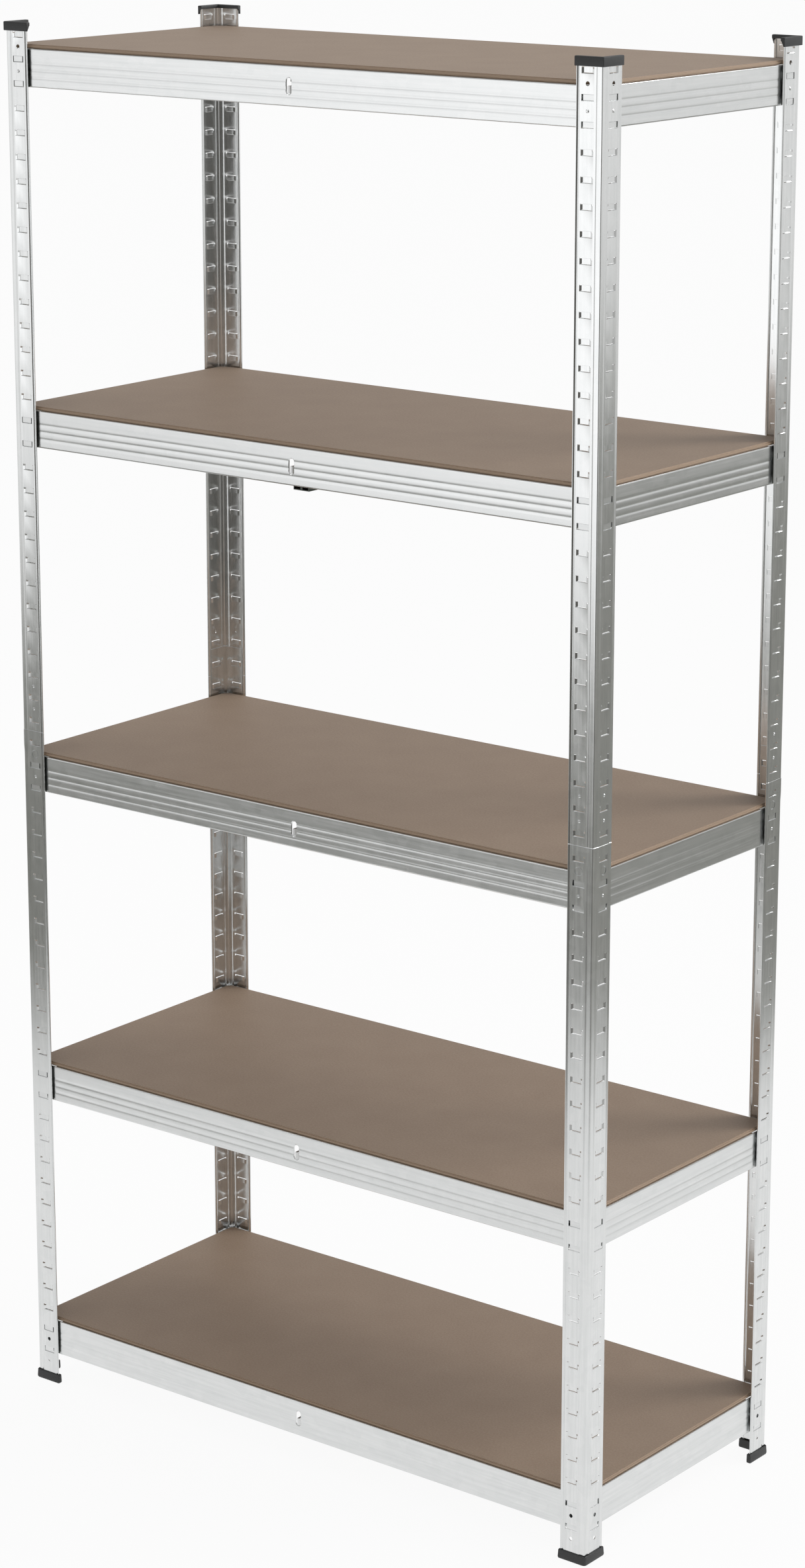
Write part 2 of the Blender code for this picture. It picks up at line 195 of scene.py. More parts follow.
# Edges that fold more than this are shaded as sharp, long upright folds sooner
SHARP_ANGLE = math.radians(28)
LONG_FOLD = 100 * MM
LONG_SHARP_ANGLE = math.radians(2)


# Materials

def linear(hex_colour):
    """Linear RGBA of an sRGB hex colour."""
    channels = [int(hex_colour[i:i + 2], 16) / 255 for i in (1, 3, 5)]
    light = [c / 12.92 if c <= 0.04045 else ((c + 0.055) / 1.055) ** 2.4 for c in channels]
    return (*light, 1.0)


def node(tree, kind, inputs=None, **settings):
    """Add one node with its settings; an input is a value or another node's output."""
    made = tree.nodes.new(kind)
    for name, value in settings.items():
        setattr(made, name, value)
    for name, value in (inputs or {}).items():
        if isinstance(value, bpy.types.NodeSocket):
            tree.links.new(value, made.inputs[name])
        else:
            made.inputs[name].default_value = value
    return made


def new_material(name):
    """A material with its node tree and its shader."""
    material = bpy.data.materials.new(name)
    material.use_nodes = True
    tree = material.node_tree
    return material, tree, tree.nodes["Principled BSDF"]


def galvanised_steel(name, stretch, dark="#e4e6e6", light="#f3f4f4", glossy=0.15, matt=0.24):
    """Hot-dipped zinc on rolled sheet: bright, faint spangles, and rolling streaks along the sheet."""
    material, tree, shader = new_material(name)
    place = node(tree, "ShaderNodeTexCoord").outputs["Object"]
    spangle_mm = 12
    wave_mm = 25
    # Coarser than real rolling streaks, so that they show
    streak_mm = 4
    spangle_share = 0.14
    spangle = node(tree, "ShaderNodeTexVoronoi", {"Vector": place, "Scale": 1 / (spangle_mm * MM)})
    along = node(tree, "ShaderNodeMapping", {"Vector": place, "Scale": stretch})
    streak = node(tree, "ShaderNodeTexNoise", {
        "Vector": along.outputs["Vector"], "Scale": 1 / (streak_mm * MM), "Detail": 4.0})
    wave = node(tree, "ShaderNodeTexNoise", {
        "Vector": along.outputs["Vector"], "Scale": 1 / (wave_mm * MM), "Detail": 1.0})
    crystal = node(tree, "ShaderNodeSeparateColor", {"Color": spangle.outputs["Color"]})
    blend = node(tree, "ShaderNodeMix", {
        "Factor": spangle_share, "A": streak.outputs["Fac"], "B": crystal.outputs["Red"]})
    colour = node(tree, "ShaderNodeValToRGB", {"Fac": blend.outputs["Result"]})
    colour.color_ramp.elements[0].position = 0.25
    colour.color_ramp.elements[0].color = linear(dark)
    colour.color_ramp.elements[1].position = 0.75
    colour.color_ramp.elements[1].color = linear(light)
    gloss = node(tree, "ShaderNodeMapRange", {
        "Value": blend.outputs["Result"], "To Min": glossy, "To Max": matt})
    relief = node(tree, "ShaderNodeBump", {
        "Height": wave.outputs["Fac"], "Strength": 0.5, "Distance": 0.15 * MM})
    shader.inputs["Metallic"].default_value = 1.0
    tree.links.new(colour.outputs["Color"], shader.inputs["Base Color"])
    tree.links.new(gloss.outputs["Result"], shader.inputs["Roughness"])
    tree.links.new(relief.outputs["Normal"], shader.inputs["Normal"])
    return material


def shaded_strut_steel():
    """Zinc darkened along the strut as painted shade, left plain bright on the tongues that slide in
    the ovals.
    """
    material = galvanised_steel(
        "galvanised_strut", ALONG_STRUT, SHADED_ZINC_DARK, SHADED_ZINC_LIGHT, SHADED_ZINC_GLOSSY, SHADED_ZINC_MATT)
    tree = material.node_tree
    shader = tree.nodes["Principled BSDF"]
    painted_shade = shader.inputs["Base Color"].links[0].from_socket
    place = node(tree, "ShaderNodeTexCoord").outputs["Object"]
    across = node(tree, "ShaderNodeSeparateXYZ", {"Vector": place}).outputs["Y"]
    reach = node(tree, "ShaderNodeMath", {0: across}, operation="ABSOLUTE").outputs["Value"]
    tongue = HALF_DEPTH - BEAM_FACE - LIP_WIDTH
    # Painted shade stops at the tongues, which stay plain bright zinc
    unshaded = node(tree, "ShaderNodeMapRange", {
        "Value": reach, "From Min": tongue, "From Max": tongue + UNSHADED_FADE})
    colour = node(tree, "ShaderNodeMix", {
        "Factor": unshaded.outputs["Result"], "A": painted_shade, "B": linear(UNSHADED_ZINC)}, data_type="RGBA")
    tree.links.new(colour.outputs["Result"], shader.inputs["Base Color"])
    return material


def hardboard():
    """Pressed wood fibre: a smooth taupe face with fine flecks, and raw, warmer sawn edges."""
    material, tree, shader = new_material("hardboard")
    place = node(tree, "ShaderNodeTexCoord").outputs["Object"]
    cloud_mm = 60
    # Coarser than real fibres, so that the flecks show
    fleck_mm = 2.5
    fleck_share = 0.75
    cloud = node(tree, "ShaderNodeTexNoise", {
        "Vector": place, "Scale": 1 / (cloud_mm * MM), "Detail": 3.0})
    fleck = node(tree, "ShaderNodeTexNoise", {
        "Vector": place, "Scale": 1 / (fleck_mm * MM), "Detail": 5.0})
    blend = node(tree, "ShaderNodeMix", {
        "Factor": fleck_share, "A": cloud.outputs["Fac"], "B": fleck.outputs["Fac"]})
    face = node(tree, "ShaderNodeValToRGB", {"Fac": blend.outputs["Result"]})
    face.color_ramp.elements[0].position = 0.3
    face.color_ramp.elements[0].color = linear("#937d6a")
    face.color_ramp.elements[1].position = 0.7
    face.color_ramp.elements[1].color = linear("#a48f7b")
    normal = node(tree, "ShaderNodeNewGeometry").outputs["True Normal"]
    upward = node(tree, "ShaderNodeSeparateXYZ", {"Vector": normal}).outputs["Z"]
    flat = node(tree, "ShaderNodeMath", {0: upward}, operation="ABSOLUTE").outputs["Value"]
    colour = node(tree, "ShaderNodeMix", {
        "Factor": flat, "A": linear("#9a846f"), "B": face.outputs["Color"]}, data_type="RGBA")
    relief = node(tree, "ShaderNodeBump", {
        "Height": fleck.outputs["Fac"], "Strength": 0.08, "Distance": 0.2 * MM})
    shader.inputs["Roughness"].default_value = 0.5
    tree.links.new(colour.outputs["Result"], shader.inputs["Base Color"])
    tree.links.new(relief.outputs["Normal"], shader.inputs["Normal"])
    return material


def black_plastic():
    """Moulded polypropylene, dyed black: soft sheen over a fine spark-eroded grain."""
    material, tree, shader = new_material("moulded_plastic")
    place = node(tree, "ShaderNodeTexCoord").outputs["Object"]
    # Coarser than a real mould's grain, so that it shows
    grain_mm = 0.8
    grain = node(tree, "ShaderNodeTexNoise", {
        "Vector": place, "Scale": 1 / (grain_mm * MM), "Detail": 3.0})
    colour = node(tree, "ShaderNodeValToRGB", {"Fac": grain.outputs["Fac"]})
    colour.color_ramp.elements[0].color = linear("#262728")
    colour.color_ramp.elements[1].color = linear("#383939")
    relief = node(tree, "ShaderNodeBump", {
        "Height": grain.outputs["Fac"], "Strength": 0.25, "Distance": 0.1 * MM})
    shader.inputs["Roughness"].default_value = 0.42
    tree.links.new(colour.outputs["Color"], shader.inputs["Base Color"])
    tree.links.new(relief.outputs["Normal"], shader.inputs["Normal"])
    return material


# Mesh helpers

def eased(points, easing):
    """A polyline whose corners are rounded; easing gives (cut, steps) or None for each inner corner."""
    path = [Vector(points[0])]
    for before, corner, after, ease in zip(points, points[1:], points[2:], easing):
        corner = Vector(corner)
        if ease is None:
            path.append(corner)
            continue
        cut, steps = ease
        start = corner + (Vector(before) - corner).normalized() * cut
        end = corner + (Vector(after) - corner).normalized() * cut
        for i in range(steps + 1):
            t = i / steps
            path.append(start * (1 - t) ** 2 + corner * (2 * t * (1 - t)) + end * t ** 2)
    path.append(Vector(points[-1]))
    return path


def finished_mesh(shape, name, *materials):
    """Turn a bmesh into a smooth-shaded mesh whose cut edges stay sharp."""
    bmesh.ops.recalc_face_normals(shape, faces=shape.faces)
    for face in shape.faces:
        face.smooth = True
    for edge in shape.edges:
        start, end = edge.verts
        upright = abs(end.co.z - start.co.z) > LONG_FOLD
        edge.smooth = edge.calc_face_angle(0.0) < (LONG_SHARP_ANGLE if upright else SHARP_ANGLE)
    mesh = bpy.data.meshes.new(name)
    shape.to_mesh(mesh)
    shape.free()
    for material in materials:
        mesh.materials.append(material)
    return mesh


def add_piece(name, mesh, place, turn, body, slot, *nodes):
    """Put a mesh in the frame as a piece that stands for the given solids."""
    piece = bpy.data.objects.new(name, mesh)
    piece.location = place
    piece.rotation_euler = (0.0, 0.0, math.radians(turn))
    bpy.context.collection.objects.link(piece)
    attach(piece, body)
    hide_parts(*nodes)


def corner_place(corner):
    """Outer corner of a post on the floor."""
    side_x = -1 if "left" in corner else 1
    side_y = -1 if "front" in corner else 1
    return (side_x * HALF_WIDTH, side_y * HALF_DEPTH, 0.0)


# Post halves

def slot_centre(number):
    return SLOT_PITCH * (number + 0.5)


def lug_slots():
    """Numbers of the slots that beam lugs fill."""
    filled = set()
    for lip in LIP_HEIGHTS:
        upper = round((lip - TOP_LUG_DROP) / SLOT_PITCH - 0.5)
        filled.update(upper - i for i in range(LUG_COUNT))
    return filled


FOLD = (FOLD_EASE, 2)
FLANGE_EASING = (None, FOLD, FOLD, None, None, FOLD, FOLD)
POST_EASING = FLANGE_EASING + ((CORNER_EASE, 4),) + FLANGE_EASING[::-1]
# Point of the eased profile at which a slot starts, and rows that each slot adds to its sheet
SLOT_STATION = 8
ROWS_PER_SLOT = 3


def post_profile(sunk, offset):
    """Fold line of the post from free edge to free edge, with its corner strips sunk."""
    flange = [
        (FLANGE, offset),
        (FLANGE - EDGE_RIM, offset),
        (FLANGE - EDGE_STRIP, BAND_RISE + offset),
        (BAND_HIGH, offset),
        (SLOT_HIGH, offset),
        (SLOT_LOW, offset),
        (BAND_LOW, offset),
        (BAND_LOW - CORNER_RUN, sunk + offset),
    ]
    corner = (sunk + offset, sunk + offset)
    return eased(flange + [corner] + [(b, a) for a, b in reversed(flange)], POST_EASING)


def ring_round(shape, corners, circle):
    """Fill between a quad and the hole inside it; both run the same way round from the same corner."""
    quarter = len(circle) // 4
    for i in range(4):
        arc = [circle[(i * quarter + j) % len(circle)] for j in range(quarter + 1)]
        shape.faces.new([corners[i], corners[(i + 1) % 4]] + arc[::-1])


def build_post_half(shape, bottom, top, plain_top, marks):
    """One pressed angle with strapped slots and small marks.

    The lower half's corner is plain at its top. The upper half has a small lip at its foot.
    """
    profile = post_profile(CORNER_SINK, 0.0)
    last = len(profile) - 1
    slot_strips = (SLOT_STATION, last - SLOT_STATION - 1)
    slot_stations = (SLOT_STATION, SLOT_STATION + 1, last - SLOT_STATION - 1, last - SLOT_STATION)
    fade_stations = range(SLOT_STATION + 2, last - SLOT_STATION - 1)
    filled = lug_slots()

    lowest = max(bottom, FOOT_WALL) + SLOT_END_MARGIN
    highest = top - SLOT_END_MARGIN
    numbers = []
    for number in range(round(HEIGHT / SLOT_PITCH)):
        low = slot_centre(number) - SLOT_HEIGHT / 2
        if low >= lowest and low + SLOT_HEIGHT <= highest:
            numbers.append(number)

    def sunk_at(z):
        """How far the corner strips are sunk at a height."""
        if not plain_top:
            return CORNER_SINK
        share = min(max((top - PLAIN_END - z) / PLAIN_FADE, 0.0), 1.0)
        return CORNER_SINK * (PLAIN_SUNK + (1 - PLAIN_SUNK) * share * share * (3 - 2 * share))

    start = bottom if plain_top else bottom + LIP_HEIGHT

    def levels(station, side):
        """Heights of a station's rows: its ends, and the cuts of its slots or the fade of its strip."""
        if station in slot_stations:
            sill = 0.0 if side else SLOT_SILL
            notch = FREE_NOTCH if station in (slot_stations[0], slot_stations[-1]) else ROOT_NOTCH
            cuts = []
            for number in numbers:
                centre = slot_centre(number)
                upper_cut = centre + SLOT_HEIGHT / 2
                cuts += [centre - SLOT_HEIGHT / 2 - sill, upper_cut - notch, upper_cut]
            return [start] + cuts + [top]
        if plain_top and station in fade_stations:
            base = top - PLAIN_END - PLAIN_FADE
            fade = [base + PLAIN_FADE * i / FADE_ROWS for i in range(FADE_ROWS + 1)]
            return [start] + fade + [top]
        return [start, top]

    column = {}
    for station in range(last + 1):
        for side, offset in ((0, 0.0), (1, POST_SHEET)):
            rows = []
            for z in levels(station, side):
                a, b = post_profile(sunk_at(z), offset)[station]
                rows.append(shape.verts.new((a, b, z)))
            column[station, side] = rows

    def skin(station, side):
        """Sheet between two stations, zipped from the bottom up where their rows differ in number."""
        left, right = column[station, side], column[station + 1, side]
        if len(left) == len(right):
            for i in range(len(left) - 1):
                shape.faces.new((left[i], right[i], right[i + 1], left[i + 1]))
            return
        i = j = 0
        while i < len(left) - 1 or j < len(right) - 1:
            right_done = j == len(right) - 1
            if i < len(left) - 1 and (right_done or left[i + 1].co.z <= right[j + 1].co.z):
                shape.faces.new((left[i], left[i + 1], right[j]))
                i += 1
            else:
                shape.faces.new((right[j], right[j + 1], left[i]))
                j += 1

    def on_flange(station, along, depth, z):
        """Point on the flange that holds a slot strip, pressed inward by depth."""
        return (along, depth, z) if station < last / 2 else (depth, along, z)

    def mark_in(low, high):
        """Height, kind and radius of the mark between two heights, if any."""
        for z, kind, width in marks:
            if low < z * MM < high:
                return z * MM, kind, width * MM / 2
        return None

    def web(station, index):
        """Sheet between two slots, with the small mark that sits there, if any."""
        sides = []
        for side in (0, 1):
            left, right = column[station, side], column[station + 1, side]
            sides.append((left[index], right[index], right[index + 1], left[index + 1]))
        mark = mark_in(sides[1][0].co.z, sides[1][3].co.z)
        if mark is None:
            for quad in sides:
                shape.faces.new(quad)
            return
        z, kind, radius = mark
        middle = (SLOT_LOW + SLOT_HIGH) / 2
        outward = 1 if station < last / 2 else -1

        def round_at(n, share):
            """Circle at a depth in the sheet, which starts at the sheet's first corner."""
            circle = []
            for i in range(MARK_POINTS):
                angle = MARK_START + math.tau * i / MARK_POINTS
                along = middle - outward * share * radius * math.cos(angle)
                point = on_flange(station, along, n, z + share * radius * math.sin(angle))
                circle.append(shape.verts.new(point))
            return circle

        def wall(one, two):
            for i in range(MARK_POINTS):
                j = (i + 1) % MARK_POINTS
                shape.faces.new((one[i], one[j], two[j], two[i]))

        rims = [round_at(side * POST_SHEET, 1.0) for side in (0, 1)]
        for quad, rim in zip(sides, rims):
            ring_round(shape, quad, rim)
        if kind == "pip":
            for side, rim in enumerate(rims):
                tip = round_at(side * POST_SHEET - PIP_RISE, PIP_TAPER)
                wall(rim, tip)
                shape.faces.new(tip)
            return
        wall(*rims)
        if kind == "plug":
            ends = [round_at(n, PLUG_SHARE) for n in (PLUG_FACE, POST_SHEET + SPLICE_PLAY)]
            wall(*ends)
            for end in ends:
                shape.faces.new(end)

    def strap(station, low_i, notch_i, high_i):
        """Sheet of a slot pressed inward between its two cuts, with its upper corners notched."""
        free = station if station < last / 2 else station + 1
        root = station + 1 if station < last / 2 else station
        sections = [[column[free, side][i] for side in (0, 1) for i in (low_i, notch_i)]]
        low = column[free, 1][low_i].co.z + STRAP_CUT
        high = column[free, 1][high_i].co.z
        for share, depth, below in STRAP_SECTIONS:
            along = SLOT_HIGH + (SLOT_LOW - SLOT_HIGH) * share
            section = []
            for side in (0, 1):
                n = depth * STRAP_PRESS + side * POST_SHEET
                for z in (low, high - below):
                    section.append(shape.verts.new(on_flange(station, along, n, z)))
            sections.append(section)
        sections.append([column[root, side][i] for side in (0, 1) for i in (low_i, notch_i)])
        for a, b in zip(sections, sections[1:]):
            for i, j in ((0, 1), (1, 3), (3, 2), (2, 0)):
                shape.faces.new((a[i], a[j], b[j], b[i]))

    for station in range(last):
        for side in (0, 1):
            if station not in slot_strips:
                skin(station, side)
    for station in slot_strips:
        for index in range(0, len(column[station, 0]), ROWS_PER_SLOT):
            web(station, index)
        for count, number in enumerate(numbers):
            low_i = ROWS_PER_SLOT * count + 1
            notch_i = low_i + 1
            high_i = low_i + 2
            for i in (low_i, high_i):
                ends = (column[station, 0][i], column[station + 1, 0][i],
                        column[station + 1, 1][i], column[station, 1][i])
                shape.faces.new(ends)
            spans = [(notch_i, high_i)]
            if number in filled:
                spans.append((low_i, notch_i))
            else:
                strap(station, low_i, notch_i, high_i)
            for s in (station, station + 1):
                outside, inside = column[s, 0], column[s, 1]
                for i, j in spans:
                    shape.faces.new((outside[i], outside[j], inside[j], inside[i]))
    for s in (0, last):
        shape.faces.new((column[s, 0][0], column[s, 0][-1], column[s, 1][-1], column[s, 1][0]))
    lower = {key: rows[0] for key, rows in column.items()}
    upper = {key: rows[-1] for key, rows in column.items()}
    if not plain_top:
        lip = {}
        for side, offset in ((0, -LIP_FLARE), (1, POST_SHEET - LIP_FLARE)):
            for s, (a, b) in enumerate(post_profile(CORNER_SINK, offset)):
                lip[s, side] = shape.verts.new((a, b, bottom))
            for s in range(last):
                shape.faces.new((lower[s, side], lower[s + 1, side], lip[s + 1, side], lip[s, side]))
        for s in (0, last):
            shape.faces.new((lower[s, 0], lower[s, 1], lip[s, 1], lip[s, 0]))
        lower = lip
    for end in (lower, upper):
        for s in range(last):
            shape.faces.new((end[s, 0], end[s + 1, 0], end[s + 1, 1], end[s, 1]))


def make_posts(steel):
    halves = (
        ("lower", post_low.z, post_high.z, True, LOWER_MARKS),
        ("upper", upper_low.z, upper_high.z, False, UPPER_MARKS),
    )
    for half, bottom, top, plain_top, marks in halves:
        shape = bmesh.new()
        build_post_half(shape, bottom, top, plain_top, marks)
        mesh = finished_mesh(shape, f"post_{half}", steel)
        for corner, turn in CORNERS:
            name = f"post_{half}_{corner}"
            add_piece(name, mesh, corner_place(corner), turn, STEEL_BODY, "upright",
                      f"upright_{half}_{corner}")


# Splices

def pierced_sheet(shape, sides, heights, windows):
    """Folded sheet between two fold lines, laid out in cells; the cells named as windows stay open."""
    corner = {}
    for side, line in enumerate(sides):
        for s, (a, b) in enumerate(line):
            for r, z in enumerate(heights):
                corner[side, s, r] = shape.verts.new((a, b, z))

    def solid(s, r):
        return 0 <= s < len(sides[0]) - 1 and 0 <= r < len(heights) - 1 and (s, r) not in windows

    for s in range(len(sides[0]) - 1):
        for r in range(len(heights) - 1):
            if not solid(s, r):
                continue
            ring = ((s, r), (s + 1, r), (s + 1, r + 1), (s, r + 1))
            beside = ((s, r - 1), (s + 1, r), (s, r + 1), (s - 1, r))
            for side in (0, 1):
                shape.faces.new([corner[side, i, j] for i, j in ring])
            for k, cell in enumerate(beside):
                if not solid(*cell):
                    here, there = ring[k], ring[(k + 1) % 4]
                    shape.faces.new((corner[0, *here], corner[0, *there],
                                     corner[1, *there], corner[1, *here]))


def make_splices(steel):
    low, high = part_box("splice_front_left")
    sides = []
    for play in (SPLICE_PLAY, SPLICE_PLAY + SPLICE_SHEET):
        band = POST_SHEET + play
        strip = band + CORNER_SINK
        flange = [
            (BAND_HIGH - FOLD_EASE, band),
            (SLOT_HIGH + WINDOW_PLAY, band),
            (SLOT_LOW - WINDOW_PLAY, band),
            (BAND_LOW, band),
            (BAND_LOW - CORNER_RUN, strip),
        ]
        sides.append(flange + [(strip, strip)] + [(b, a) for a, b in reversed(flange)])
    heights = [low.z]
    for number in range(round(HEIGHT / SLOT_PITCH)):
        reach = SLOT_HEIGHT / 2 + WINDOW_PLAY
        if low.z < slot_centre(number) - reach and slot_centre(number) + reach < high.z:
            heights += [slot_centre(number) - reach, slot_centre(number) + reach]
    heights.append(high.z)
    slot_strips = (1, len(sides[0]) - 3)
    windows = {(s, r) for s in slot_strips for r in range(1, len(heights) - 1, 2)}
    shape = bmesh.new()
    pierced_sheet(shape, sides, heights, windows)
    mesh = finished_mesh(shape, "joint_splice", steel)
    for corner, turn in CORNERS:
        add_piece(f"joint_splice_{corner}", mesh, corner_place(corner), turn, STEEL_BODY, "upright",
                  f"splice_{corner}")


# Beams

def beam_profile(offset):
    """Section of a beam as (inward, height), from the return's edge up the web to the lip's edge."""
    web = BEAM_FACE + offset
    floor = -BEAM_HEIGHT + offset
    points = [
        (BEAM_FACE + RETURN_WIDTH, floor),
        (web, floor),
        (web, floor + BOTTOM_EASE + FLAT_MARGIN),
    ]
    easing = [(BOTTOM_EASE, 3), None]
    for drop in reversed(GROOVE_DROPS):
        points += [
            (web, -drop - GROOVE_HALF),
            (web + GROOVE_DEPTH, -drop),
            (web, -drop + GROOVE_HALF),
        ]
        easing += [(RIB_EASE, 3), (VALLEY_EASE, 2), (RIB_EASE, 3)]
    points += [
        (web, -offset - TOP_EASE - FLAT_MARGIN),
        (web, -offset),
        (BEAM_FACE + LIP_WIDTH, -offset),
    ]
    easing += [None, (TOP_EASE, 4)]
    return eased(points, easing)


def build_beam(shape, span, painted_shade):
    """Folded sheet along X: the web runs behind the posts, the lip and return stop short of them.

    The strip near each end, by the post's edge, gets the second material: painted shade where the
    post's flange shades the web.
    """
    sides = (beam_profile(0.0), beam_profile(BEAM_SHEET))
    last = len(sides[0]) - 1
    web_end = span / 2 - BEAM_END_INSET
    lip_end = span / 2 - FLANGE - LIP_END_GAP
    tab = span / 2 - FLANGE - painted_shade[0]
    tab_back = tab + painted_shade[1]
    web_places = (-web_end, -tab_back, -tab, -lip_end, lip_end, tab, tab_back, web_end)
    column = {}
    for station in range(last + 1):
        places = (-lip_end, lip_end) if station in (0, last) else web_places
        for side in (0, 1):
            n, z = sides[side][station]
            column[station, side] = {x: shape.verts.new((x, n, z)) for x in places}

    def cell(one, two, left, right):
        """Sheet between two rows of corners, from one place along the beam to the next."""
        face = shape.faces.new((one[left], one[right], two[right], two[left]))
        near, far = sorted((abs(left), abs(right)))
        # Cells of the strip near each end take the second material, painted shade
        face.material_index = 1 if near >= tab and far <= tab_back else 0

    for strip in range(last):
        places = (-lip_end, lip_end) if strip in (0, last - 1) else web_places
        for side in (0, 1):
            for left, right in zip(places, places[1:]):
                cell(column[strip, side], column[strip + 1, side], left, right)
        for x in (places[0], places[-1]):
            shape.faces.new((column[strip, 0][x], column[strip + 1, 0][x],
                             column[strip + 1, 1][x], column[strip, 1][x]))
    for station in (0, last):
        cell(column[station, 0], column[station, 1], -lip_end, lip_end)
    for station in (1, last - 1):
        for left, right in zip(web_places, web_places[1:]):
            if left * right > 0:
                cell(column[station, 0], column[station, 1], left, right)


def cutter(front, front_depth, back, back_depth):
    """Mesh between an outline at a front depth and one of as many points behind it."""
    shape = bmesh.new()
    rings = []
    for outline, depth in ((front, front_depth), (back, back_depth)):
        rings.append([shape.verts.new((x, depth, z)) for x, z in outline])
        shape.faces.new(rings[-1])
    for i in range(len(front)):
        j = (i + 1) % len(front)
        shape.faces.new((rings[0][i], rings[0][j], rings[1][j], rings[1][i]))
    bmesh.ops.recalc_face_normals(shape, faces=shape.faces)
    mesh = bpy.data.meshes.new("tool")
    shape.to_mesh(mesh)
    shape.free()
    return mesh


def oval_points(grown):
    """Outline of the oval opening, grown all round."""
    radius = OVAL_WIDTH / 2 + grown
    straight = (OVAL_HEIGHT - OVAL_WIDTH) / 2
    points = []
    for end, start in ((1, 0.0), (-1, math.pi)):
        for i in range(OVAL_STEPS + 1):
            angle = start + math.pi * i / OVAL_STEPS
            height = -OVAL_DROP + end * straight + radius * math.sin(angle)
            points.append((radius * math.cos(angle), height))
    return points


def beam_mesh(name, span, has_oval, painted_shade, steel, shade_strip_steel):
    """Folded beam with its lugs joined on, and an oval opening cut where it has one."""
    shape = bmesh.new()
    build_beam(shape, span, painted_shade)
    base = bpy.data.objects.new(name, finished_mesh(shape, name, steel, shade_strip_steel))
    tools = []
    back = BEAM_FACE + BEAM_SHEET / 2
    near = span / 2 - SLOT_LOW - LUG_PLAY
    far = span / 2 - SLOT_HIGH + LUG_PLAY
    for side in (-1, 1):
        root = side * near
        free = side * (far + LUG_END_GAP)
        for i in range(LUG_COUNT):
            low = -TOP_LUG_DROP - SLOT_PITCH * i - SLOT_HEIGHT / 2 + LUG_RISE
            high = low + LUG_HEIGHT
            lug = ((root, low), (free, low), (free, high), (root, high))
            tools.append(("UNION", cutter(lug, LUG_FRONT, lug, back)))
    if has_oval:
        deep = BEAM_FACE + GROOVE_DEPTH + 2 * BEAM_SHEET
        oval = oval_points(0.0)
        bevel = oval_points(OVAL_BEVEL)
        tools.append(("DIFFERENCE", cutter(oval, 0.0, oval, deep)))
        tools.append(("DIFFERENCE", cutter(bevel, BEAM_FACE, oval, BEAM_FACE + OVAL_BEVEL)))
    bpy.context.collection.objects.link(base)
    helpers = []
    for operation, mesh in tools:
        helper = bpy.data.objects.new("tool", mesh)
        bpy.context.collection.objects.link(helper)
        helpers.append(helper)
        cut = base.modifiers.new("cut", "BOOLEAN")
        cut.operation = operation
        cut.solver = "EXACT"
        cut.object = helper
    graph = bpy.context.evaluated_depsgraph_get()
    cut_mesh = bpy.data.meshes.new_from_object(base.evaluated_get(graph))
    for item in [base] + helpers:
        bpy.data.objects.remove(item, do_unlink=True)
    shape = bmesh.new()
    shape.from_mesh(cut_mesh)
    return finished_mesh(shape, name, steel, shade_strip_steel)


def make_beams(steel, shade_strip_steel):
    long_beam = beam_mesh("long_beam", 2 * HALF_WIDTH, True, LONG_SHADE_STRIP, steel, shade_strip_steel)
    short_beam = beam_mesh("short_beam", 2 * HALF_DEPTH, False, SHORT_SHADE_STRIP, steel, shade_strip_steel)
    for tier, lip in zip(TIERS, LIP_HEIGHTS):
        sides = (
            ("front", long_beam, (0.0, -HALF_DEPTH, lip), 0),
            ("right", short_beam, (HALF_WIDTH, 0.0, lip), 90),
            ("back", long_beam, (0.0, HALF_DEPTH, lip), 180),
            ("left", short_beam, (-HALF_WIDTH, 0.0, lip), 270),
        )
        for side, mesh, place, turn in sides:
            add_piece(f"ribbed_beam_{side}_{tier}", mesh, place, turn, STEEL_BODY, "beam",
                      f"beam_{side}_{tier}")


# Boards

def make_boards(material):
    low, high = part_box("board_1")
    x, y, thick = high.x, high.y, high.z - low.z
    cut = BOARD_BLUNT
    outline = ((-x + cut, -y), (x - cut, -y), (x, -y + cut), (x, y - cut),
               (x - cut, y), (-x + cut, y), (-x, y - cut), (-x, -y + cut))
    shape = bmesh.new()
    face = shape.faces.new([shape.verts.new((a, b, 0.0)) for a, b in outline])
    grown = bmesh.ops.extrude_face_region(shape, geom=[face])
    moved = [item for item in grown["geom"] if isinstance(item, bmesh.types.BMVert)]
    bmesh.ops.translate(shape, verts=moved, vec=(0.0, 0.0, thick))
    bmesh.ops.bevel(shape, geom=list(shape.edges), offset=BOARD_EASE, segments=3, affect="EDGES")
    mesh = finished_mesh(shape, "shelf_board", material)
    for tier in TIERS:
        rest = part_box(f"board_{tier}")[0].z
        add_piece(f"shelf_board_{tier}", mesh, (0.0, 0.0, rest), 0, f"board_{tier}", "hardboard",
                  f"board_{tier}")


# Caps and feet

def shoe_outline(swell, corner_ease, inside):
    """Rounded L round a post: how far it stands off the sheet, its corner and its inner wall."""
    out = -PLASTIC_GAP - swell
    end = FLANGE + PLASTIC_GAP + swell
    middle = (end / 2, out)
    points = [
        middle, (end, out), (end, inside), (inside, inside),
        (inside, end), (out, end), (out, out), middle,
    ]
    tip = min(END_EASE, (inside - out) / 3)
    easing = [(tip, 3), (tip, 3), None, (tip, 3), (tip, 3), (corner_ease, 5)]
    return eased(points, easing)[:-1]


